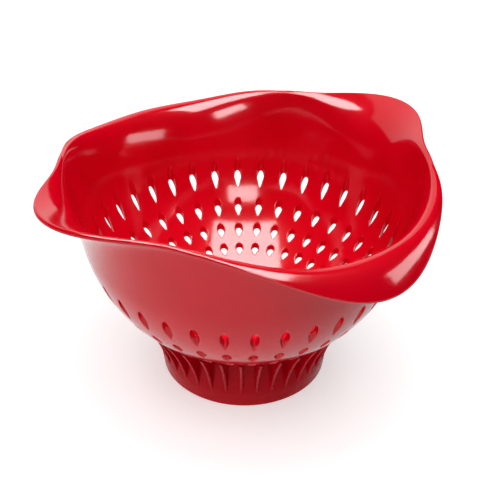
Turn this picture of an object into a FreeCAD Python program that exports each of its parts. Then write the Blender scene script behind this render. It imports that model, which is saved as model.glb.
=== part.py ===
import FreeCAD, Part
import math
import os
import Sketcher
from FreeCAD import Placement, Rotation, Vector

# A moulded plastic colander: a perforated bowl on a fluted foot ring.
# Millimetres. The origin is on the table under the middle of the bowl, +Z is up and +X points along the
# two pouring lips. The two rolled handles lie close to +Y and -Y.

doc = FreeCAD.newDocument("colander")
sheet = doc.addObject("Spreadsheet::Sheet", "Sizes")

SIZES = {
    # Bowl: the inside is part of a sphere.
    "wall": 2.6,               # thickness of the moulding
    "floor_height": 22.1,      # inside of the floor above the table, on the axis
    "bowl_radius": 105.4,      # inside of the sphere
    "side_slope": 80.0,        # slope of the wall where the rim begins, degrees
    # Rim: the edge's place from the wall's top at five stations, from a lip to a handle.
    "lip_out": 35.7,
    "lip_up": 51.6,
    "lip_flank_out": 16.1,
    "lip_flank_up": 49.2,
    "waist_out": 14.6,
    "waist_up": 46.2,
    "handle_flank_out": 25.4,
    "handle_flank_up": 32.7,
    "handle_out": 34.3,
    "handle_up": 20.3,
    # Rim: how far the wall's line runs up before it turns, at the same stations.
    "lip_rise": 32.1,
    "lip_flank_rise": 45.8,
    "waist_rise": 50.0,
    "handle_flank_rise": 30.3,
    "handle_rise": 27.7,
    # Rim: the pull of the turn at the edge, outwards and upwards, at the same stations.
    "lip_pull_out": 24.2,
    "lip_pull_up": 8.4,
    "lip_flank_pull_out": 6.5,
    "lip_flank_pull_up": 4.1,
    "waist_pull_out": 3.2,
    "waist_pull_up": -0.7,
    "handle_flank_pull_out": 11.2,
    "handle_flank_pull_up": -17.6,
    "handle_pull_out": 18.1,
    "handle_pull_up": -36.0,
    "handle_lead": 2.7,        # the handles' turn from square to the lips, degrees
    # Drain holes: drops with the point inwards, drawn straight up, the same number in each ring.
    "hole_count": 36,
    "hole_width": 5.8,
    "hole_length": 7.4,
    "row_margin": 7.9,         # from the wall's top in to the points of the first row
    "row_pitch": 10.8,
    "floor_hole_width": 3.8,
    "floor_hole_length": 6.6,
    "floor_row_margin": 2.5,   # from the collar in to the round ends of the floor's first row
    "floor_row_pitch": 9.6,
    # Foot ring: a drum with thin fins that flare out under the bowl.
    "foot_radius": 58.0,       # outside, on the table
    "foot_wall": 3.2,          # on the table
    "foot_edge": 0.8,          # chamfers along the table
    "drum_taper": 1.8,         # how much narrower the drum is under the bowl
    "bore_step": 5.2,          # from the foot's radius in to the bore that holds the collar
    "bore_depth": 10.0,
    "seat_gap": 0.05,          # between the ring's top and the bowl
    "fin_count": 36,
    "fin_thickness": 2.0,
    "fin_root": 2.5,           # how deep the fins run into the drum
    "fin_start": 12.0,         # height where the fins leave the drum
    "fin_inset": 0.8,          # the fins' lower edge, inside the foot's radius
    "waist_height": 21.0,      # height where the fins begin to flare
    "fin_flare": 5.2,          # how far the fins reach past the foot's radius, under the bowl
    "fin_land": 1.2,           # blunt end of each fin under the bowl
    "fin_gap": 0.15,           # between the fins' tops and the bowl
    # Collar under the bowl: the ring is pushed over its bead and held by it.
    "collar_wall": 2.4,
    "collar_gap": 0.15,        # between the collar and the ring's bore
    "collar_reach": 3.2,       # how far the collar runs past the bore
    "collar_bead": 0.4,
}

for row, (name, value) in enumerate(SIZES.items(), start=1):
    sheet.set("A%d" % row, name)
    sheet.set("B%d" % row, str(value))
    sheet.setAlias("B%d" % row, name)
doc.recompute()


def size(name):
    """Value of a named size."""
    return float(getattr(sheet, name))


# Bowl wall: the sphere's centre, and the wall's top where the rim begins.

side_slope = math.radians(size("side_slope"))
centre = Vector(0, 0, size("floor_height") + size("bowl_radius"))
outer_radius = size("bowl_radius") + size("wall")


def on_arc(radius, slope):
    """Point about the sphere's centre where the tangent has the given slope."""
    return centre + Vector(math.sin(slope), 0, -math.cos(slope)) * radius


wall_top = on_arc(size("bowl_radius"), side_slope)
wall_up = Vector(math.cos(side_slope), 0, math.sin(side_slope))
wall_outward = Vector(math.sin(side_slope), 0, -math.cos(side_slope))

# The collar and the ring share these radii, and the underside's height at the bore.

bore_radius = size("foot_radius") - size("bore_step")
collar_radius = bore_radius - size("collar_gap")
collar_inside = collar_radius - size("collar_wall")
fin_radius = size("foot_radius") + size("fin_flare")


def underside(radius, gap=0.0):
    """Height of the bowl's outside, less a gap, at a radius."""
    return centre.z - math.sqrt((outer_radius + gap) ** 2 - radius ** 2)


bore_bottom = underside(bore_radius) - size("bore_depth")
collar_bottom = bore_bottom - size("collar_reach")

# Rim: the curve from the wall's top to the edge has four control points at each azimuth. Their values at
# the five stations run round the bowl as a cosine series, alike on both lips and on both handles.

STATIONS = ("lip", "lip_flank", "waist", "handle_flank", "handle")


def around(measure, azimuth):
    """Cosine series through a measure's five station values."""
    values = [size(station + "_" + measure) for station in STATIONS]
    last = len(values) - 1
    ends = [0.5 if i in (0, last) else 1.0 for i in range(last + 1)]
    total = 0.0
    for k in range(last + 1):
        terms = (ends[j] * values[j] * math.cos(math.pi * k * j / last) for j in range(last + 1))
        total += ends[k] * 2 / last * sum(terms) * math.cos(2 * k * azimuth)
    return total


def rim_section(azimuth):
    """Control points of the rim's inside, edge and outside in the plane of one azimuth."""
    lead = math.radians(size("handle_lead")) * (1 - math.cos(2 * azimuth)) / 2
    place = azimuth + lead
    edge = wall_top + Vector(around("out", place), 0, around("up", place))
    pull = Vector(around("pull_out", place), 0, around("pull_up", place))
    rise = around("rise", place)
    heading = Vector(pull).normalize()
    sideways = Vector(-heading.z, 0, heading.x) * -size("wall")
    turn = side_slope - math.atan2(heading.z, heading.x)
    shorter = 4 / 3 * math.tan(turn / 4) * size("wall")
    inside = [wall_top, wall_top + wall_up * rise, edge - pull, edge]
    root = wall_top + wall_outward * size("wall")
    lower = edge + sideways
    outside = [lower, lower - heading * max(pull.Length - shorter, 0.3 * pull.Length),
               root + wall_up * (rise - shorter), root]
    return inside, [edge, lower], outside


def ring_face(part_of_section):
    """Closed smooth face from one part of the rim's sections, all the way round the bowl."""
    count = 72
    step = 2 * math.pi / count
    swell = 3 / (2 + math.cos(step))
    poles = []
    for i in range(count):
        azimuth = (i - 1) * step
        column = []
        for point in rim_section(azimuth)[part_of_section]:
            out = point.x * swell
            column.append(Vector(out * math.cos(azimuth), out * math.sin(azimuth), point.z))
        poles.append(column)
    degree = len(poles[0]) - 1
    ends = [degree + 1, degree + 1]
    surface = Part.BSplineSurface()
    surface.buildFromPolesMultsKnots(poles, [1] * (count + 1), ends, list(range(count + 1)), [0, 1],
                                     True, False, 3, degree)
    return surface.toShape()


def arc_edge(radius, first, last):
    """Edge about the sphere's centre between two slopes."""
    middle = on_arc(radius, (first + last) / 2)
    return Part.Arc(on_arc(radius, first), middle, on_arc(radius, last)).toShape()


# The blank: the sphere's two sides and the turned collar, closed by the flowing rim.


def slope_at(radius):
    """Slope of the outside where it has the given radius."""
    return math.asin(radius / outer_radius)


collar_profile = Part.makePolygon([
    Vector(collar_inside, 0, underside(collar_inside)),
    Vector(collar_inside, 0, collar_bottom),
    Vector(collar_radius, 0, collar_bottom),
    Vector(collar_radius + size("collar_bead"), 0, collar_bottom + size("collar_reach") / 3),
    Vector(collar_radius, 0, collar_bottom + size("collar_reach") * 2 / 3),
    Vector(collar_radius, 0, underside(collar_radius)),
])
profile = [
    arc_edge(size("bowl_radius"), 0, side_slope),
    arc_edge(outer_radius, 0, slope_at(collar_inside)),
    arc_edge(outer_radius, slope_at(collar_radius), side_slope),
] + collar_profile.Edges
faces = []
for edge in profile:
    faces += edge.revolve(Vector(0, 0, 0), Vector(0, 0, 1), 360).Faces
faces += [ring_face(i) for i in range(3)]
joined = faces[0].generalFuse(faces[1:], 0.001)[0]
shell = Part.Compound(joined.Faces)
shell.sewShape()
blank = doc.addObject("Part::Feature", "BowlBlank")
blank.Shape = Part.makeSolid(shell.Shells[0])
blank.Placement = Placement()
doc.recompute()


def plane_of(body, role):
    """Origin plane or axis of a body."""
    return next(item for item in body.Origin.OriginFeatures if item.Role == role)


# The same places as expressions of the sheet, for the sketches.

CENTRE = "(Sizes.floor_height + Sizes.bowl_radius)"
FIRST_ROW = "(Sizes.bowl_radius * sin(Sizes.side_slope * 1 deg) - Sizes.row_margin)"
FLOOR_ROW = ("(Sizes.foot_radius - Sizes.bore_step - Sizes.collar_gap - Sizes.collar_wall"
             " - Sizes.floor_row_margin - Sizes.floor_hole_length)")


def fix(sketch, kind, elements, expression):
    """Dimension in a sketch, bound to an expression of the named sizes."""
    value = float(sketch.evalExpression(expression))
    index = sketch.addConstraint(Sketcher.Constraint(kind, *elements, value))
    sketch.setExpression("Constraints[%d]" % index, expression)


# Drain holes: drops on one meridian, cut straight up and repeated round the bowl. The meridian lies half
# a step from the lips.

first_row = wall_top.x - size("row_margin")
row_count = 1 + int((first_row - fin_radius) / size("row_pitch") + 0.1)
floor_first_row = collar_inside - size("floor_row_margin") - size("floor_hole_length")

bowl = doc.addObject("PartDesign::Body", "Bowl")
bowl.Label = "strainer_bowl"
bowl.BaseFeature = blank
doc.recompute()


def cut_drops(name, width, length, points, every=1):
    """Rings of drop-shaped holes through the bowl, with the points at the given radii and expressions."""
    sketch = bowl.newObject("Sketcher::SketchObject", name + "Drops")
    sketch.AttachmentSupport = (plane_of(bowl, "XY_Plane"), [""])
    sketch.MapMode = "FlatFace"
    sketch.AttachmentOffset = Placement(Vector(0, 0, 0), Rotation(Vector(0, 0, 1), 1))
    sketch.setExpression("AttachmentOffset.Rotation.Angle", "180 deg / Sizes.hole_count")
    half = size(width) / 2
    for radius, expression in points:
        centre = radius + size(length) - half
        lean = math.acos(half / (size(length) - half))
        side = Vector(centre - half * math.cos(lean), half * math.sin(lean), 0)
        mirror = Vector(side.x, -side.y, 0)
        circle = Part.Circle(Vector(centre, 0, 0), Vector(0, 0, 1), half)
        round_end = sketch.addGeometry(Part.ArcOfCircle(circle, math.pi + lean, 3 * math.pi - lean), False)
        upper = sketch.addGeometry(Part.LineSegment(side, Vector(radius, 0, 0)), False)
        lower = sketch.addGeometry(Part.LineSegment(Vector(radius, 0, 0), mirror), False)
        sketch.addConstraint(Sketcher.Constraint("Coincident", upper, 2, lower, 1))
        sketch.addConstraint(Sketcher.Constraint("PointOnObject", upper, 2, -1))
        sketch.addConstraint(Sketcher.Constraint("PointOnObject", round_end, 3, -1))
        sketch.addConstraint(Sketcher.Constraint("Tangent", round_end, 2, upper, 1))
        sketch.addConstraint(Sketcher.Constraint("Tangent", lower, 2, round_end, 1))
        fix(sketch, "Radius", [round_end], "Sizes.%s / 2" % width)
        fix(sketch, "DistanceX", [upper, 2, round_end, 3], "Sizes.%s - Sizes.%s / 2" % (length, width))
        fix(sketch, "DistanceX", [-1, 1, upper, 2], expression)
    before = bowl.Shape.Volume
    pocket = bowl.newObject("PartDesign::Pocket", name + "Pocket")
    pocket.Profile = sketch
    pocket.Reversed = True
    pocket.Type = "Length"
    pocket.Length = wall_top.z
    rings = bowl.newObject("PartDesign::PolarPattern", name + "Rings")
    rings.Originals = [pocket]
    rings.Axis = (plane_of(bowl, "Z_Axis"), [""])
    rings.Angle = 360
    rings.setExpression("Occurrences", "floor(Sizes.hole_count / %d)" % every)
    bowl.Tip = rings
    doc.recompute()
    if not rings.Shape.Volume < before:
        raise RuntimeError(name + " holes cut nothing")


wall_rows = [(first_row - i * size("row_pitch"), "%s - %d * Sizes.row_pitch" % (FIRST_ROW, i))
             for i in range(row_count)]
floor_rows = [(floor_first_row - i * size("floor_row_pitch"),
               "%s - %d * Sizes.floor_row_pitch" % (FLOOR_ROW, i)) for i in range(2)]
cut_drops("Wall", "hole_width", "hole_length", wall_rows)
cut_drops("Floor", "floor_hole_width", "floor_hole_length", floor_rows, 2)

# Foot ring: a drum turned under the bowl's own sphere, then fins padded on it. One fin lies on each lip.

ring = doc.addObject("PartDesign::Body", "Ring")
ring.Label = "foot_ring"


def bearing(circle, point):
    """Angle of a point about a circle's centre."""
    return math.atan2(point.y - circle.Center.y, point.x - circle.Center.x)


def under_bowl(inner, outer, gap):
    """Arc under the bowl between two radii, in a sketch's own plane, with its two ends."""
    seat = Part.Circle(Vector(0, centre.z, 0), Vector(0, 0, 1), outer_radius + size(gap))
    ends = [Vector(radius, underside(radius, size(gap)), 0) for radius in (inner, outer)]
    return Part.ArcOfCircle(seat, bearing(seat, ends[0]), bearing(seat, ends[1])), ends[0], ends[1]


def upright_sketch(name):
    """Sketch in the plane of the lips."""
    sketch = ring.newObject("Sketcher::SketchObject", name)
    sketch.AttachmentSupport = (plane_of(ring, "XZ_Plane"), [""])
    sketch.MapMode = "FlatFace"
    return sketch


def draw(sketch, curves, meetings, top, gap):
    """Draw an outline, join its ends in pairs, and hold the curve of index top under the bowl."""
    lines = sketch.addGeometry(curves, False)
    for first, first_end, second, second_end in meetings:
        sketch.addConstraint(Sketcher.Constraint("Coincident", lines[first], first_end, lines[second], second_end))
    sketch.addConstraint(Sketcher.Constraint("PointOnObject", lines[top], 3, -2))
    fix(sketch, "DistanceY", [-1, 1, lines[top], 3], CENTRE)
    fix(sketch, "Radius", [lines[top]], "Sizes.bowl_radius + Sizes.wall + Sizes." + gap)
    return lines


foot_inside = size("foot_radius") - size("foot_wall")
top_arc, bore_top, drum_top = under_bowl(bore_radius, size("foot_radius") - size("drum_taper"), "seat_gap")
bore_end = bore_top - Vector(0, size("bore_depth"), 0)
corners = [Vector(foot_inside, size("foot_edge"), 0), Vector(foot_inside + size("foot_edge"), 0, 0),
           Vector(size("foot_radius") - size("foot_edge"), 0, 0), Vector(size("foot_radius"), size("foot_edge"), 0)]
outline = upright_sketch("DrumProfile")
table, edge, side, top, bore, cone, inner_edge = draw(outline, [
    Part.LineSegment(corners[1], corners[2]), Part.LineSegment(corners[2], corners[3]),
    Part.LineSegment(corners[3], drum_top), top_arc, Part.LineSegment(bore_top, bore_end),
    Part.LineSegment(bore_end, corners[0]), Part.LineSegment(corners[0], corners[1]),
], [(0, 2, 1, 1), (1, 2, 2, 1), (2, 2, 3, 2), (3, 1, 4, 1), (4, 2, 5, 1), (5, 2, 6, 1), (6, 2, 0, 1)], 3, "seat_gap")
outline.addConstraint(Sketcher.Constraint("Horizontal", table))
outline.addConstraint(Sketcher.Constraint("PointOnObject", table, 1, -1))
outline.addConstraint(Sketcher.Constraint("Vertical", bore))
fix(outline, "DistanceX", [-1, 1, edge, 1], "Sizes.foot_radius - Sizes.foot_edge")
fix(outline, "DistanceX", [-1, 1, edge, 2], "Sizes.foot_radius")
fix(outline, "DistanceY", [-1, 1, edge, 2], "Sizes.foot_edge")
fix(outline, "DistanceX", [-1, 1, side, 2], "Sizes.foot_radius - Sizes.drum_taper")
fix(outline, "DistanceX", [-1, 1, bore, 1], "Sizes.foot_radius - Sizes.bore_step")
fix(outline, "DistanceY", [bore, 2, bore, 1], "Sizes.bore_depth")
fix(outline, "DistanceX", [-1, 1, inner_edge, 1], "Sizes.foot_radius - Sizes.foot_wall")
fix(outline, "DistanceY", [-1, 1, inner_edge, 1], "Sizes.foot_edge")
fix(outline, "DistanceX", [-1, 1, table, 1], "Sizes.foot_radius - Sizes.foot_wall + Sizes.foot_edge")
drum = ring.newObject("PartDesign::Revolution", "Drum")
drum.Profile = outline
drum.ReferenceAxis = (outline, ["V_Axis"])
drum.Angle = 360
doc.recompute()
drum_volume = ring.Shape.Volume

root = size("foot_radius") - size("fin_root")
fin_arc, root_top, fin_tip = under_bowl(root, fin_radius, "fin_gap")
waist = Vector(size("foot_radius") - size("fin_inset"), size("waist_height"), 0)
start = Vector(waist.x, size("fin_start"), 0)
fin_end = fin_tip - Vector(0, size("fin_land"), 0)
run = fin_end - waist
flare_radius = run.Length ** 2 / (2 * run.x)
flare = Part.Circle(waist + Vector(flare_radius, 0, 0), Vector(0, 0, 1), flare_radius)
fin_outline = upright_sketch("FinProfile")
low, front, curve, land, top, back = draw(fin_outline, [
    Part.LineSegment(Vector(root, start.y, 0), start), Part.LineSegment(start, waist),
    Part.ArcOfCircle(flare, bearing(flare, fin_end), math.pi), Part.LineSegment(fin_end, fin_tip),
    fin_arc, Part.LineSegment(root_top, Vector(root, start.y, 0)),
], [(0, 2, 1, 1), (2, 1, 3, 1), (3, 2, 4, 2), (4, 1, 5, 1), (5, 2, 0, 1)], 4, "fin_gap")
fin_outline.addConstraint(Sketcher.Constraint("Tangent", front, 2, curve, 2))
fin_outline.addConstraint(Sketcher.Constraint("Horizontal", low))
for upright in (front, land, back):
    fin_outline.addConstraint(Sketcher.Constraint("Vertical", upright))
fix(fin_outline, "DistanceX", [-1, 1, low, 1], "Sizes.foot_radius - Sizes.fin_root")
fix(fin_outline, "DistanceY", [-1, 1, low, 1], "Sizes.fin_start")
fix(fin_outline, "DistanceX", [-1, 1, front, 2], "Sizes.foot_radius - Sizes.fin_inset")
fix(fin_outline, "DistanceY", [-1, 1, front, 2], "Sizes.waist_height")
fix(fin_outline, "DistanceX", [-1, 1, land, 2], "Sizes.foot_radius + Sizes.fin_flare")
fix(fin_outline, "DistanceY", [land, 1, land, 2], "Sizes.fin_land")
fin = ring.newObject("PartDesign::Pad", "Fin")
fin.Profile = fin_outline
fin.Midplane = True
fin.setExpression("Length", "Sizes.fin_thickness")
fins = ring.newObject("PartDesign::PolarPattern", "Fins")
fins.Originals = [fin]
fins.Axis = (plane_of(ring, "Z_Axis"), [""])
fins.Angle = 360
fins.setExpression("Occurrences", "Sizes.fin_count")
ring.Tip = fins
doc.recompute()
if not ring.Shape.Volume > drum_volume:
    raise RuntimeError("fins add nothing")

# Check every object, then write one file for each piece.

failed = [item.Name for item in doc.Objects if "Invalid" in item.State or "Error" in item.State]
if failed:
    raise RuntimeError("failed: " + ", ".join(failed))
os.makedirs("parts", exist_ok=True)
for body in (bowl, ring):
    if body.Shape.isNull() or not body.Shape.isValid() or len(body.Shape.Solids) != 1:
        raise RuntimeError(body.Label + " is not one sound solid")
    body.Shape.exportStep("parts/%s.step" % body.Label)
    print(body.Label, round(body.Shape.Volume), "mm3", body.Shape.BoundBox)
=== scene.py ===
# %% [markdown]
# # A glossy red colander
# The object is a moulded plastic colander: a round bowl full of drop-shaped drain holes, with a rim
# that flows out into two pouring lips and rolls over into two handles, on a foot ring with thin
# fins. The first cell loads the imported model, and everything else is drawn in its frame. Shapes are
# worked out in millimetres, and scaled to the frame's metres when their mesh is made.

# %% Load the frame
import math

import bpy
import numpy as np
from mathutils import Matrix, Vector


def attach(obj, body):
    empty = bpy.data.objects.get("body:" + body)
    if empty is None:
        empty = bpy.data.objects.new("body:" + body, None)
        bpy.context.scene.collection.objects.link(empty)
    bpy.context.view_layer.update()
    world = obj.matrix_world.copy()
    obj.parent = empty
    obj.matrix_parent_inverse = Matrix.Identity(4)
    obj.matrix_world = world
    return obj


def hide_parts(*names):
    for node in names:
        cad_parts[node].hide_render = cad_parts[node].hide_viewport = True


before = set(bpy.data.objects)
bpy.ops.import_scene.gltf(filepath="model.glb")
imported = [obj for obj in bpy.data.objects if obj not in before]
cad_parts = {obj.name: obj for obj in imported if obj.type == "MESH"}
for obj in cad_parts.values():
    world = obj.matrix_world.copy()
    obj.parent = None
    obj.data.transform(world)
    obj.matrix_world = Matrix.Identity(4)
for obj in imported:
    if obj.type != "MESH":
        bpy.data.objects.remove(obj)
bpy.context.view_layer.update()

print("nodes:", sorted(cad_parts))

# %% [markdown]
# ## One way to make every skin
# Both pieces are skins made of closed rings of points. A ring runs round the bowl, or round one
# drain hole, and a band of quads joins it to the next ring. Such skins could be modelled by hand,
# loop by loop, but a formula on a whole array is exact. Each point also carries the true direction
# of its surface, which keeps the reflections on a glossy moulding free of ripples.

# %% Rings into bands


def unit(vectors):
    """Vectors divided by their lengths."""
    return vectors / np.linalg.norm(vectors, axis=-1, keepdims=True)


def banded(points, normals):
    """Points, normals and quads of stacks of closed rings.

    The arrays are (stacks, rings, points in a ring, 3). Point i of a ring joins point i + 1, the
    last one joins the first, and each ring joins the next ring of its stack."""
    index = np.arange(points[..., 0].size).reshape(points.shape[:3])
    following = np.roll(index, -1, axis=2)
    quads = np.stack([index[:, :-1], following[:, :-1], following[:, 1:], index[:, 1:]], axis=-1)
    return points.reshape(-1, 3), normals.reshape(-1, 3), quads.reshape(-1, 4)


# %% [markdown]
# Where two skins meet, they have the same points twice. Merging these closes the piece. A ring that
# shrinks to one point, as in the middle of the bowl's floor, turns its quads into triangles in the
# same step.

# %% Bands into a piece
MM = 0.001
WELD = 2e-6  # metres, the grid on which points count as equal


def facing_out(points, normals, quads):
    """Quads, turned round where the cross product of their diagonals is against their normals."""
    corner = points[quads]
    across = np.cross(corner[:, 2] - corner[:, 0], corner[:, 3] - corner[:, 1])
    against = (across * normals[quads].sum(axis=1)).sum(axis=1) < 0
    return np.where(against[:, None], quads[:, ::-1], quads)


def welded(points):
    """Points with the equal ones merged, and the place of each old point among them."""
    spots, place = np.unique(np.round(points / WELD).astype(np.int64), axis=0, return_inverse=True)
    place = place.reshape(-1)
    merged = np.zeros((len(spots), 3))
    merged[place] = points
    return merged, place


def make_piece(name, skins):
    """One closed mesh from several skins.

    Of each quad, the corners that differ from the next one are kept, so some become triangles."""
    starts = np.cumsum([0] + [len(points) for points, normals, quads in skins])
    points = np.concatenate([skin[0] for skin in skins]) * MM
    normals = np.concatenate([skin[1] for skin in skins])
    quads = np.concatenate([skin[2] + start for skin, start in zip(skins, starts)])
    quads = facing_out(points, normals, quads)
    merged, place = welded(points)
    corners = place[quads]
    keep = corners != np.roll(corners, -1, axis=1)
    sides = keep.sum(axis=1)
    keep[sides < 3] = False
    sides = sides[sides >= 3]
    mesh = bpy.data.meshes.new(name)
    mesh.vertices.add(len(merged))
    mesh.vertices.foreach_set("co", merged.ravel())
    mesh.loops.add(int(sides.sum()))
    mesh.loops.foreach_set("vertex_index", corners[keep])
    mesh.polygons.add(len(sides))
    mesh.polygons.foreach_set("loop_start", np.concatenate([[0], np.cumsum(sides)[:-1]]))
    mesh.polygons.foreach_set("use_smooth", np.ones(len(sides), dtype=bool))
    mesh.update(calc_edges=True)
    mesh.normals_split_custom_set(unit(normals)[quads[keep]].tolist())
    piece = bpy.data.objects.new(name, mesh)
    bpy.context.scene.collection.objects.link(piece)
    mended = mesh.validate(verbose=False)
    print(name, len(mesh.polygons), "faces", "mended" if mended else "sound")
    return piece


# %% [markdown]
# ## The bowl's wall
# The wall is a part of a sphere, 3.1 mm thick. It could be turned from a profile, but the holes
# have to go through it, so every point is found in plan first and then set down on the inner or the
# outer sphere.

# %% Wall
WALL = 3.1
RADIUS = 105.1
OUTSIDE = RADIUS + WALL
CENTRE = np.array([0.0, 0.0, 127.5])
TOP_SLOPE = math.radians(80)  # the wall ends this far round from its lowest point


def on_sphere(flat, radius):
    """Points of the lower half of a sphere under the plan points given."""
    height = CENTRE[2] - np.sqrt(radius ** 2 - (flat ** 2).sum(axis=-1))
    return np.concatenate([flat, height[..., None]], axis=-1)


def facing_in(points):
    """Directions of the wall's inside, towards the sphere's centre."""
    return unit(CENTRE - points)


wall_top_in = RADIUS * math.sin(TOP_SLOPE)
wall_top_out = OUTSIDE * math.sin(TOP_SLOPE)
print("radius at the wall's top:", round(wall_top_in, 1), "to", round(wall_top_out, 1), "mm")

# %% [markdown]
# ## The drain holes
# The holes were formed by pins that draw straight up, so each has the same outline in plan all the
# way through, and it looks longer where the wall is steep. Seen from above, a hole is a drop: the
# hull of a large and a small circle, with its point inwards. Holes could be cut out of the wall
# with booleans, but that leaves ragged faces that spoil the gloss. Instead, each hole gets a cell
# of its own. Rings of points lead from the cell's border to the hole's rounded edge, through the
# wall, and out to the cell's border on the other side.

# %% Outline of a hole and of its cell
STEPS_UP = 6  # points along each straight side of a cell
POINT_SHARE = 0.15  # radius of the drop's point, as a share of its width


def drop(t, tip, width, length):
    """Plan points of a drop at the directions t, and these directions as vectors.

    The x axis runs outwards along the hole's own meridian. A direction belongs to the large circle
    while cos t is above minus the sine of half the point's angle, and else to the small circle."""
    outward = np.stack([np.cos(t), np.sin(t)], axis=-1)
    big, small = width / 2, POINT_SHARE * width
    lean = big / (length - big)
    on_big = np.cos(t) > -lean
    middle = np.where(on_big, tip + length - big, tip + small / lean)
    rounding = np.where(on_big, big, small)
    return outward * rounding[:, None] + np.stack([middle, 0 * middle], axis=-1), outward


def cell_border(half, low, high, steps_round):
    """Plan points round a cell between two radii, half a step to each side of its meridian."""
    turn = np.linspace(-half, half, steps_round + 1)[:-1]
    climb = np.linspace(low, high, STEPS_UP + 1)[:-1]
    angle = np.concatenate([turn, half + 0 * climb, -turn, -half + 0 * climb])
    reach = np.concatenate([high + 0 * turn, high + low - climb, low + 0 * turn, climb])
    return reach[:, None] * np.stack([np.cos(angle), np.sin(angle)], axis=-1)


# %% Skins of a ring of holes
EDGE_ROUND = 0.75  # the rounded edge starts this far outside the hole
EDGE_DEPTH = 0.12  # and ends at this share of the wall's depth
CELL_SHARES = (0, 0.45, 0.8, 1)  # rings on the way from a cell's border to the rounded edge
FIRST_HOLE = math.radians(5)


def hole_side(border, hole, outward, radius, sign):
    """Rings and directions on one face of the wall, from a cell's border into the hole.

    The edge's middle ring is the midpoint of a quadratic curve whose control point is the corner
    that a sharp edge would have."""
    start = hole + EDGE_ROUND * outward
    skin = [on_sphere(border + (start - border) * share, radius) for share in CELL_SHARES]
    corner = on_sphere(hole, radius)
    lip = corner + sign * EDGE_DEPTH * (on_sphere(hole, RADIUS) - on_sphere(hole, OUTSIDE))
    bend = 0.25 * skin[-1] + 0.5 * corner + 0.25 * lip
    into_hole = np.concatenate([-outward, 0 * outward[:, :1]], axis=-1)
    facing = [-sign * facing_in(ring) for ring in skin]
    return skin + [bend, lip], facing + [unit(-sign * facing_in(corner) + into_hole), into_hole]


def turns(count, first=0.0):
    """Matrices that turn rows of points about the axis in equal steps, from the first angle on."""
    angle = first + 2 * np.pi * np.arange(count) / count
    cos, sin, zero = np.cos(angle), np.sin(angle), 0 * angle
    rows = np.stack([cos, sin, zero, -sin, cos, zero, zero, zero, zero + 1], axis=-1)
    return rows.reshape(-1, 1, 3, 3)


def drain_ring(count, width, length, steps_round, tip, low, high_in, high_out):
    """A ring of drain holes with their cells, whose borders are at the radii low and high."""
    half = np.pi / count
    total = 2 * (steps_round + STEPS_UP)
    t = -np.pi / 2 * steps_round / (steps_round + STEPS_UP) + 2 * np.pi * np.arange(total) / total
    hole, outward = drop(t, tip, width, length)
    border_in = cell_border(half, low, high_in, steps_round)
    border_out = cell_border(half, low, high_out, steps_round)
    inside, facing_up = hole_side(border_in, hole, outward, RADIUS, -1)
    outside, facing_down = hole_side(border_out, hole, outward, OUTSIDE, 1)
    points = np.stack(inside + outside[::-1])
    normals = np.stack(facing_up + facing_down[::-1])
    spin = turns(count, FIRST_HOLE)
    return banded(points @ spin, normals @ spin)


# %% Six rings of holes
WALL_EDGES = (61.8, 72.6, 83.4, 94.2)  # lower radii of the four rows in the wall
FLOOR_EDGES = (30.0, 39.6, 49.2)  # radii between and beside the two rows in the floor
WALL_HOLE = dict(count=36, width=5.4, length=7.2, steps_round=6)
FLOOR_HOLE = dict(count=18, width=3.8, length=6.6, steps_round=12)
WALL_TIP, FLOOR_TIP = 1.7, 1.55  # from a row's lower radius to the point of the drop

tops_in = WALL_EDGES[1:] + (wall_top_in,)
tops_out = WALL_EDGES[1:] + (wall_top_out,)
wall_rows = [drain_ring(**WALL_HOLE, tip=low + WALL_TIP, low=low, high_in=top_in, high_out=top_out)
             for low, top_in, top_out in zip(WALL_EDGES, tops_in, tops_out)]
floor_rows = [drain_ring(**FLOOR_HOLE, tip=low + FLOOR_TIP, low=low, high_in=high, high_out=high)
              for low, high in zip(FLOOR_EDGES, FLOOR_EDGES[1:])]
bowl_skins = wall_rows + floor_rows
print("drain holes:", len(wall_rows) * WALL_HOLE["count"] + len(floor_rows) * FLOOR_HOLE["count"])

# %% [markdown]
# ## Floor, bands and collar
# The rest of the wall has no holes, so plain rings about the axis are enough. Under the floor, a
# round collar with a small bead reaches down into the foot ring and holds it. A collar is what a
# lathe would make, so it is turned from a few pairs of a radius and a height.

# %% Plain bands and collar
AROUND = 216  # points in a ring about the axis
FLOOR_RINGS = (0, 8, 16, 23, FLOOR_EDGES[0])
PLAIN_RINGS_IN, PLAIN_RING_OUT = (53.4, 57.6), 57  # between the floor's holes and the wall's
BORE = 52.8  # radius of the foot ring's bore
COLLAR_IN, COLLAR_OUT, BEAD = 50.25, 52.65, 53.05  # radii
COLLAR_DEPTH, BEAD_CREST, BEAD_TOP = 13.2, 1.07, 2.13  # the bead's are from the collar's low end
BEAD_SLOPE = 0.4  # upright part of the directions of the bead's two faces


def round_circle(radius):
    """Plan points of a circle about the bowl's axis."""
    angle = np.arange(AROUND) * 2 * np.pi / AROUND
    return radius * np.stack([np.cos(angle), np.sin(angle)], axis=-1)


def turned(pairs):
    """Rings of points or directions about the axis, from pairs of a radial and an upright part."""
    rings = [np.concatenate([round_circle(r), np.full((AROUND, 1), z)], axis=-1) for r, z in pairs]
    return np.stack(rings)[None]


def plain_band(radii, radius, sign):
    """Rings on one of the wall's two spheres. A ring of radius zero is the point in the middle."""
    points = np.stack([on_sphere(round_circle(r), radius) for r in radii])[None]
    return banded(points, sign * facing_in(points))


def turned_band(profile, facing):
    """Rings through pairs of a radius and a height, with one direction for the whole band."""
    points = turned(profile)
    return banded(points, np.broadcast_to(unit(turned([facing])), points.shape))


def under_bowl(r, gap=0.0):
    """Height at a radius of the outer sphere, made larger by a gap under the bowl."""
    return CENTRE[2] - np.sqrt((OUTSIDE + gap) ** 2 - r ** 2)


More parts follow.
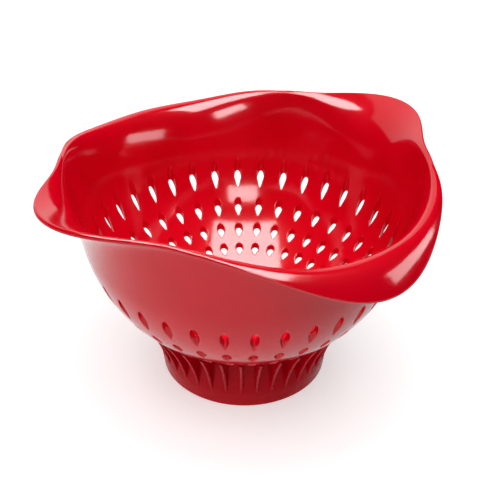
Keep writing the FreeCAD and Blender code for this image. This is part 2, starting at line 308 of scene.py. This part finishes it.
collar_low = under_bowl(BORE) - COLLAR_DEPTH
collar = [
    (COLLAR_IN, under_bowl(COLLAR_IN)),
    (COLLAR_IN, collar_low),
    (COLLAR_OUT, collar_low),
    (BEAD, collar_low + BEAD_CREST),
    (COLLAR_OUT, collar_low + BEAD_TOP),
    (COLLAR_OUT, under_bowl(COLLAR_OUT)),
]
collar_facing = [(-1, 0), (0, -1), (1, -BEAD_SLOPE), (1, BEAD_SLOPE), (1, 0)]
bowl_skins += [
    plain_band(FLOOR_RINGS, RADIUS, 1),
    plain_band((FLOOR_EDGES[-1], *PLAIN_RINGS_IN, WALL_EDGES[0]), RADIUS, 1),
    plain_band(FLOOR_RINGS, OUTSIDE, -1),
    plain_band((FLOOR_EDGES[-1], COLLAR_IN), OUTSIDE, -1),
    plain_band((COLLAR_OUT, PLAIN_RING_OUT, WALL_EDGES[0]), OUTSIDE, -1),
]
bowl_skins += [turned_band((start, end), facing)
               for start, end, facing in zip(collar, collar[1:], collar_facing)]
print("collar height from", round(collar_low, 1), "to", round(under_bowl(COLLAR_OUT), 1), "mm")

# %% [markdown]
# ## The flowing rim
# Above the wall the moulding sweeps out. At each lip it is a nearly flat spout, at each waist it
# only turns its edge out, and at each handle it rolls over and hangs down. It could be sculpted,
# but all of these are one curve, a cubic with four control points, whose numbers change smoothly
# round the bowl. Five stations from a lip to a handle give the numbers, and a cosine series carries
# them round, so the skin has no seam anywhere.

# %% Rim stations
RIM = {  # out and up to the edge, the curve's pull at the wall, and its pull at the edge
    "out": (36.0, 16.4, 14.9, 25.7, 34.6),
    "up": (51.6, 49.2, 46.2, 32.7, 20.3),
    "rise": (32.1, 45.8, 50.0, 30.3, 27.7),
    "pull_out": (24.2, 6.5, 3.2, 11.2, 18.1),
    "pull_up": (8.4, 4.1, -0.7, -17.6, -36.0),
}
HANDLE_LEAD = math.radians(2.7)  # the handles are this far from square to the lips


def around(measure, angle):
    """Cosine series in even multiples of the angle, through a measure's five values."""
    values = np.array(RIM[measure])
    k = np.arange(5)
    ends = np.array([0.5, 1, 1, 1, 0.5])
    parts = ends / 2 * (np.cos(np.pi * np.outer(k, k) / 4) @ (ends * values))
    return np.cos(2 * np.outer(angle, k)) @ parts


bearing = np.arange(AROUND) * 2 * np.pi / AROUND
station = bearing + HANDLE_LEAD * (1 - np.cos(2 * bearing)) / 2
wall_top = np.array([wall_top_in, CENTRE[2] - RADIUS * math.cos(TOP_SLOPE)])
edge = wall_top + np.stack([around("out", station), around("up", station)], axis=-1)
pull = np.stack([around("pull_out", station), around("pull_up", station)], axis=-1)
rise = around("rise", station)[:, None]
print("rim height from", round(edge[:, 1].min(), 1), "to", round(edge[:, 1].max(), 1), "mm")

# %% [markdown]
# A section of the rim goes up the inside, round the edge and back down the outside. The outside is
# the same curve one wall further out: where a curve turns, its parallel has shorter or longer
# pulls, by the pull of a circle's arc with the wall as its radius.

# %% Rim sections
STEPS_ALONG, STEPS_EDGE = 31, 11
BLUNT = 0.62  # bulge of the rounded edge, in wall thicknesses
LEAST_PULL = 0.3  # share of the inside's pull that the outside keeps at least


def cubic(controls, t):
    """Cubic curve of four control points, for all the parameters in t, one row each.

    The points' weights are the four terms of the cube of (1 - t) + t."""
    weights = np.stack([(1 - t) ** 3, 3 * t * (1 - t) ** 2, 3 * t ** 2 * (1 - t), t ** 3])
    return np.einsum("kt,kac->tac", weights, np.stack(controls))


wall_up = np.array([math.cos(TOP_SLOPE), math.sin(TOP_SLOPE)])
wall_root = wall_top + WALL * np.array([math.sin(TOP_SLOPE), -math.cos(TOP_SLOPE)])
pull_length = np.linalg.norm(pull, axis=-1, keepdims=True)
heading = pull / pull_length
below = edge + WALL * heading[:, ::-1] * [1, -1]
rolled = TOP_SLOPE - np.arctan2(heading[:, 1:], heading[:, :1])
shorter = 4 / 3 * np.tan(rolled / 4) * WALL
blunt = heading * (BLUNT * WALL)
inside = [wall_top + 0 * edge, wall_top + wall_up * rise, edge - pull, edge]
rounded = [edge, edge + blunt, below + blunt, below]
outside = [below, below - heading * np.maximum(pull_length - shorter, LEAST_PULL * pull_length),
           wall_root + wall_up * (rise - shorter), wall_root + 0 * edge]
along = np.linspace(0, 1, STEPS_ALONG)
over_edge = np.linspace(0, 1, STEPS_EDGE)[1:-1]
section = np.concatenate([cubic(inside, along), cubic(rounded, over_edge), cubic(outside, along)])
print("rim sections:", section.shape[1], "of", section.shape[0], "points")

# %% [markdown]
# The sections stand on spokes about the axis. Their direction at a point is square to the line
# along the section and to the line round the rim. With the rim, the bowl's skins are complete and
# become one piece.

# %% Bowl
spokes = np.stack([np.cos(bearing), np.sin(bearing)], axis=-1)
rim = np.concatenate([section[..., :1] * spokes, section[..., 1:]], axis=-1)
along_section = np.gradient(rim, axis=0)
along_rim = np.roll(rim, -1, axis=1) - np.roll(rim, 1, axis=1)
bowl_skins.append(banded(rim[None], np.cross(along_section, along_rim)[None]))
strainer_bowl = make_piece("strainer_bowl_moulding", bowl_skins)

# %% [markdown]
# ## The foot ring
# The ring is a drum that widens up to a soft shoulder and then narrows towards the bowl. On it
# stand thin fins, whose hollow outer edges sweep out under the bowl. The drum is turned about the
# axis like the collar. Its directions are the mean of the profile's runs before and after each
# point, so its small edges look rounded.

# %% Drum
FOOT, SHOULDER, DRUM_TOP = 57.4, 59.0, 56.6  # radii from the table up
SHOULDER_HEIGHT, SHOULDER_ROUND = 12.0, 0.3
DRUM_GAP = 0.1  # between the drum and the bowl
STEP_DEPTH = 10  # from the bore's top to where it widens
HOLLOW = ((54.18, 1.2), (54.2, 0.8), (54.28, 0.62), (54.8, 0.1))  # pairs of a radius and a height
BASE = ((55.0, 0.0), (55.2, 0.0), (56.4, 0.0), (56.6, 0.0), (56.8, 0.08), (57.3, 0.6))

drum_height = under_bowl(DRUM_TOP, DRUM_GAP)


def drum_radius(z):
    """The drum's outside: the lesser of a widening and a narrowing line, their crossing rounded."""
    above = z - SHOULDER_HEIGHT
    widening = FOOT + (SHOULDER - FOOT) * z / SHOULDER_HEIGHT
    narrowing = SHOULDER - (SHOULDER - DRUM_TOP) * above / (drum_height - SHOULDER_HEIGHT)
    return (widening + narrowing) / 2 - np.sqrt((widening - narrowing) ** 2 + SHOULDER_ROUND) / 2


drum_z = np.concatenate([[0.8, 1.2], np.linspace(2, drum_height - 0.4, 30), [drum_height]])
outer = np.stack([drum_radius(drum_z), drum_z], axis=-1)
seat_r = DRUM_TOP + (BORE - DRUM_TOP) * np.array([0.05, 0.5, 0.95, 1])
seat = np.stack([seat_r, under_bowl(seat_r, DRUM_GAP)], axis=-1)
bore_top = under_bowl(BORE, DRUM_GAP)
bore_step = bore_top - STEP_DEPTH
bore = [(BORE, bore_top - 0.3), (BORE, bore_step + 0.3), (BORE, bore_step)]
bore_end = [(BORE + 0.03, bore_step - 0.4)]
profile = np.concatenate([outer, seat, bore, bore_end, HOLLOW, BASE])
run = unit(np.roll(profile, -1, axis=0) - profile)
run = run + np.roll(run, 1, axis=0)
profile, run = np.concatenate([profile, profile[:1]]), np.concatenate([run, run[:1]])
foot_skins = [banded(turned(profile), turned(run[:, ::-1] * [1, -1]))]
print("drum:", round(2 * outer[:, 0].max(), 1), "mm across,", round(drum_height, 1), "mm high")

# %% [markdown]
# A fin's outer edge is an arc from the shoulder to the tip. One fin is drawn and repeated round the
# drum. Each of its rings starts inside the drum or close under the bowl, runs out along one face,
# round the edge and back along the other face. The edge is rounded, so that it catches a thin line
# of light.

# %% Outline of a fin
FIN_ROOT, FIN_TIP = 54.9, 75.0
FIN_GAP = 0.15  # between the fins and the bowl
FIN_BEND = 100.0  # radius of the hollow edge
FIN_SUNK = 0.2  # depth of the edge's start in the shoulder
TIP_HEIGHT, TIP_BACK = 1.2, 0.3  # the blunt tip's two measures
FIN_RINGS = 25

arc_start = np.array([SHOULDER - FIN_SUNK, SHOULDER_HEIGHT])
arc_end = np.array([FIN_TIP, under_bowl(FIN_TIP, FIN_GAP) - TIP_HEIGHT])
chord = arc_end - arc_start
span = np.linalg.norm(chord)
square_to_chord = np.array([chord[1], -chord[0]]) / span
bend_centre = (arc_start + arc_end) / 2 + square_to_chord * math.sqrt(FIN_BEND ** 2 - span ** 2 / 4)
first, last = [math.atan2(*(end - bend_centre)[::-1]) for end in (arc_start, arc_end)]
share = np.linspace(0, 1, FIN_RINGS)
sweep = first + (last - first) * share
inward = np.stack([np.cos(sweep), np.sin(sweep)], axis=-1)
back_r = FIN_ROOT + (FIN_TIP - TIP_BACK - FIN_ROOT) * np.clip((share - 0.5) / 0.5, 0, 1)
root_height = under_bowl(FIN_ROOT, FIN_GAP) - SHOULDER_HEIGHT
climb = SHOULDER_HEIGHT + root_height * np.clip(share / 0.5, 0, 1)
back = np.stack([back_r, np.where(share < 0.5, climb, under_bowl(back_r, FIN_GAP))], axis=-1)
print("a fin's edge is", round(FIN_BEND * abs(last - first), 1), "mm long")

# %% Fins and foot
FINS = 36
HALF_FIN, FIN_EDGE_DEPTH = 1.1, 0.7
EDGE_POINTS = 11

bow = np.linspace(-np.pi / 2, np.pi / 2, EDGE_POINTS)
deeper = FIN_EDGE_DEPTH * (1 - np.cos(bow))[:, None]
edge_flat = bend_centre + FIN_BEND * inward[:, None] + deeper * inward[:, None]
flat = np.concatenate([back[:, None], edge_flat, back[:, None]], axis=1)
aside = HALF_FIN * np.concatenate([[-1], np.sin(bow), [1]])
facing = np.concatenate([[[0, -1]], np.stack([np.cos(bow), np.sin(bow)], axis=-1), [[0, 1]]])
fin = np.stack([flat[..., 0], aside + 0 * flat[..., 0], flat[..., 1]], axis=-1)
fin_facing = np.stack([-facing[:, 0] * inward[:, :1], facing[:, 1] + 0 * inward[:, :1],
                       -facing[:, 0] * inward[:, 1:]], axis=-1)
caps = [np.broadcast_to(fin[i].mean(axis=0), fin[i].shape)[None] for i in (0, -1)]
fin = np.concatenate([caps[0], fin, caps[1]])
fin_facing = np.concatenate([fin_facing[:1], fin_facing, fin_facing[-1:]])
foot_skins.append(banded(fin @ turns(FINS), fin_facing @ turns(FINS)))
foot_ring = make_piece("foot_ring_moulding", foot_skins)

# %% [markdown]
# ## Polypropylene
# Household colanders are injection-moulded in polypropylene, coloured right through. The polished
# mould leaves a glossy skin, so the eye sees deep red with sharp white reflections, broken very
# slightly by the flow of the melt. Light goes a little way into the plastic, and thin edges glow. A
# flat colour with a gloss would look like paint, so three noises on Object coordinates carry the
# drift of the colour, the marks of handling and the flow.

# %% Colours and nodes


def colour(hex_value):
    """Linear colour of an sRGB hex value: the curve's low part is straight, the rest a power."""
    part = np.array([int(hex_value[i:i + 2], 16) / 255 for i in (1, 3, 5)])
    linear = np.where(part <= 0.04045, part / 12.92, ((part + 0.055) / 1.055) ** 2.4)
    return (*linear.tolist(), 1.0)


def node(tree, kind, links=(), **values):
    """Add a node, set its properties and inputs by name, and link other nodes' outputs into it."""
    made = tree.nodes.new(kind)
    for name, value in values.items():
        if hasattr(made, name):
            setattr(made, name, value)
        else:
            made.inputs[name.replace("_", " ")].default_value = value
    for source, output, target in links:
        tree.links.new(source.outputs[output], made.inputs[target])
    return made


# The foot's reds are painted shade: the bowl's red made darker for the bowl's shadow over the foot.
BOWL_REDS, FOOT_REDS_PAINTED_SHADE = ("#D60018", "#DE001E"), ("#B40012", "#BE0018")
for red in BOWL_REDS + FOOT_REDS_PAINTED_SHADE:
    print(red, "in linear light:", [round(value, 3) for value in colour(red)[:3]])

# %% Moulded polypropylene
PER_METRE = 1000.0  # a noise's scale is this over its size in millimetres
DRIFT, HANDLING, FLOW = 40.0, 100 / 9, 6.25  # sizes of the three noises in millimetres
FLOW_HEIGHT = 0.0004  # metres
GLOSS_SPREAD = 0.05
GLOW_DEPTH = (0.004, 0.0006, 0.0004)  # metres that red, green and blue light go into the plastic


def moulded_polypropylene(name, deep, bright, roughness, mirror):
    """Moulded polypropylene: two close reds that drift over 40 mm, and a faintly uneven skin.

    The mirror value is the strength of the skin's reflections, 0.5 for a perfectly clean one."""
    material = bpy.data.materials.new(name)
    material.use_nodes = True
    tree = material.node_tree
    tree.nodes.clear()
    place = [(node(tree, "ShaderNodeTexCoord"), "Object", "Vector")]
    drift = node(tree, "ShaderNodeTexNoise", place, Scale=PER_METRE / DRIFT, Detail=2.0)
    reds = node(tree, "ShaderNodeValToRGB", [(drift, "Fac", "Fac")])
    for stop, position, red in zip(reds.color_ramp.elements, (0.35, 0.65), (deep, bright)):
        stop.position, stop.color = position, colour(red)
    handling = node(tree, "ShaderNodeTexNoise", place, Scale=PER_METRE / HANDLING, Detail=4.0)
    gloss = node(tree, "ShaderNodeMapRange", [(handling, "Fac", "Value")],
                 To_Min=roughness, To_Max=roughness + GLOSS_SPREAD)
    flow = node(tree, "ShaderNodeTexNoise", place, Scale=PER_METRE / FLOW, Detail=1.0)
    skin = node(tree, "ShaderNodeBump", [(flow, "Fac", "Height")],
                Strength=0.05, Distance=FLOW_HEIGHT)
    shader = node(tree, "ShaderNodeBsdfPrincipled",
                  [(reds, "Color", "Base Color"), (gloss, "Result", "Roughness"),
                   (skin, "Normal", "Normal")],
                  IOR=1.49, Specular_IOR_Level=mirror,
                  Subsurface_Weight=0.06, Subsurface_Radius=GLOW_DEPTH)
    node(tree, "ShaderNodeOutputMaterial", [(shader, "BSDF", "Surface")])
    return material


bowl_red = moulded_polypropylene("moulded_polypropylene_bowl", *BOWL_REDS,
                                 roughness=0.09, mirror=0.29)
# Painted shade: the foot's deeper reds stand for the shadow of the bowl above it.
foot_red_painted_shade = moulded_polypropylene("moulded_polypropylene_foot_painted_shade", *FOOT_REDS_PAINTED_SHADE,
                                 roughness=0.25, mirror=0.07)
print("materials:", bowl_red.name, "and", foot_red_painted_shade.name)

# %% [markdown]
# The bowl's skin is the polished one. The foot ring comes from a plainer mould, so its skin is duller
# and its fins show by their shade. Its deeper red is painted shade: the bowl's plastic made darker
# for the shadow the bowl casts on it. Each piece rides on the one body, and stands for its imported
# solid.

# %% Finish the pieces
for piece, red, cad_node, slot in ((strainer_bowl, bowl_red, "strainer_bowl", "bowl_plastic"),
                                   (foot_ring, foot_red_painted_shade, "foot_ring", "foot_plastic")):
    piece.data.materials.append(red)
    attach(piece, "root")
    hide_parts(cad_node)
    print(piece.name, "is", red.name)

# %% [markdown]
# ## Floor and wall of the studio
# The colander stands on white paper that runs to a white wall. Real paper would need strong lamps
# to come out white behind a deep red object. Here the floor glows a little by itself and the wall
# altogether, and soft light from the dome passes through them, because the dome already holds the
# light that the paper would throw back. The wall is there for the camera alone: it shows in no
# reflection and casts no shadow.

# %% Floor and wall
ROOM = 6.0  # metres from the middle to each wall
PAPER_ROUGHNESS = 0.9
scene = bpy.context.scene
scene.view_settings.view_transform = "Standard"


def studio_surface(name, points, faces, tint, glow):
    """Staged paper surface with a glow of its own, which diffuse light passes through."""
    mesh = bpy.data.meshes.new(name)
    mesh.from_pydata(points, [], faces)
    paper = bpy.data.materials.new(name + "_paper")
    paper.use_nodes = True
    shader = paper.node_tree.nodes["Principled BSDF"]
    shader.inputs["Base Color"].default_value = colour(tint)
    shader.inputs["Roughness"].default_value = PAPER_ROUGHNESS
    shader.inputs["Emission Color"].default_value = colour("#FFFFFF")
    shader.inputs["Emission Strength"].default_value = glow
    mesh.materials.append(paper)
    surface = bpy.data.objects.new(name, mesh)
    scene.collection.objects.link(surface)
    surface.visible_diffuse = False
    return surface


corners = [(-ROOM, -ROOM), (ROOM, -ROOM), (ROOM, ROOM), (-ROOM, ROOM)]
studio_surface("studio_floor", [(x, y, 0) for x, y in corners], [(0, 1, 2, 3)], "#E0E0E0", 0.40)
wall_points = [(x, y, z) for z in (0, ROOM) for x, y in corners]
wall_faces = [(i, (i + 1) % 4, 4 + (i + 1) % 4, 4 + i) for i in range(4)]
studio_wall = studio_surface("studio_wall", wall_points, wall_faces, "#101010", 0.95)
studio_wall.visible_glossy = studio_wall.visible_shadow = False
print("studio:", 2 * ROOM, "m square")

# %% [markdown]
# ## The dome
# A dome of light gives the soft shading. It is bright overhead like a studio ceiling, dim near the
# horizon, and bright again from below at the front left, where the paper throws light back under
# the bowl. A few large lamps could do the same, but a formula of the direction has no edges. The
# dome is left out of reflections.

# %% Dome
BOUNCE_FROM = (-0.62, -0.16, -0.77)  # direction of the brightest paper

world = bpy.data.worlds.new("studio_dome")
scene.world = world
world.use_nodes = True
world.cycles_visibility.glossy = False
tree = world.node_tree
tree.nodes.clear()
direction = node(tree, "ShaderNodeTexCoord")
upward = node(tree, "ShaderNodeSeparateXYZ", [(direction, "Generated", "Vector")])
ceiling = node(tree, "ShaderNodeMapRange", [(upward, "Z", "Value")],
               From_Min=0.45, From_Max=0.95, To_Min=0.07, To_Max=2.25)
toward_bounce = node(tree, "ShaderNodeVectorMath", [(direction, "Generated", 0)],
                     operation="DOT_PRODUCT")
toward_bounce.inputs[1].default_value = BOUNCE_FROM
bounce = node(tree, "ShaderNodeMapRange", [(toward_bounce, "Value", "Value")],
              From_Min=0.3, From_Max=1.0, To_Min=0.0, To_Max=1.35)
strength = node(tree, "ShaderNodeMath", [(ceiling, "Result", 0), (bounce, "Result", 1)],
                operation="ADD")
dome = node(tree, "ShaderNodeBackground", [(strength, "Value", "Strength")], Color=(1, 1, 1, 1))
node(tree, "ShaderNodeOutputWorld", [(dome, "Background", "Surface")])
print("dome:", len(tree.nodes), "nodes")

# %% [markdown]
# ## White cards
# What a glossy moulding shows best is what it mirrors. A photographer puts white cards round it,
# and so does this cell: one overhead, one beside the camera, one low at the right and a wide one
# behind. The cards are lamps that show only in reflections, so that moving one moves a highlight
# and leaves the shading as it is.

# %% Cards
AIM = Vector((0, 0, 0.1))  # metres, the middle of the bowl


def white_card(name, bearing, elevation, distance, width, height, brightness):
    """Lit card that faces the bowl from a bearing and an elevation in degrees.

    Its power is its brightness times pi times its area, so a larger card is no dimmer."""
    lamp = bpy.data.lights.new(name, "AREA")
    lamp.shape, lamp.size, lamp.size_y = "RECTANGLE", width, height
    lamp.energy = brightness * math.pi * width * height
    card = bpy.data.objects.new(name, lamp)
    scene.collection.objects.link(card)
    a, e = math.radians(bearing), math.radians(elevation)
    toward = Vector((math.cos(a) * math.cos(e), math.sin(a) * math.cos(e), math.sin(e)))
    card.location = AIM + toward * distance
    card.rotation_euler = toward.to_track_quat("Z", "Y").to_euler()
    card.visible_diffuse = card.visible_camera = False
    print(name, round(lamp.energy, 2), "W")


white_card("overhead_card", bearing=-128, elevation=70, distance=3.0,
           width=2.8, height=2.4, brightness=25)
white_card("front_card", bearing=-126, elevation=26, distance=1.6,
           width=0.65, height=0.34, brightness=22)
white_card("right_card", bearing=-46, elevation=20, distance=0.46,
           width=0.26, height=0.10, brightness=10)
white_card("rear_card", bearing=76, elevation=37, distance=2.0,
           width=2.6, height=2.1, brightness=1.45)

# %% [markdown]
# ## The camera
# The camera stands where the photo was taken from. Its place, its target, its small roll and its
# lens were fitted to the outlines of the bowl, the foot and the rim.

# %% Camera
SENSOR = 36.0  # mm
FOCAL_PIXELS, IMAGE_PIXELS = 855.52, 500
EYE, TARGET = Vector((-0.3044, -0.3819, 0.3920)), Vector((0.00262, -0.00212, 0.0876))
ROLL = 0.01414  # radians

camera_data = bpy.data.cameras.new("camera")
camera_data.sensor_width = SENSOR
camera_data.lens = SENSOR * FOCAL_PIXELS / IMAGE_PIXELS
camera = bpy.data.objects.new("camera", camera_data)
scene.collection.objects.link(camera)
forward = (TARGET - EYE).normalized()
right = forward.cross(Vector((0, 0, 1))).normalized()
above = right.cross(forward)
x_axis = right * math.cos(ROLL) + above * math.sin(ROLL)
y_axis = above * math.cos(ROLL) - right * math.sin(ROLL)
camera_turn = Matrix((x_axis, y_axis, -forward)).transposed()
camera.matrix_world = Matrix.Translation(EYE) @ camera_turn.to_4x4()
scene.camera = camera
print("camera:", round(camera_data.lens, 1), "mm lens,", round((TARGET - EYE).length, 3), "m away")

# %% [markdown]
# ## Hand over
# The last cell brings the scene up to date.

# %% Hand over
bpy.context.view_layer.update()
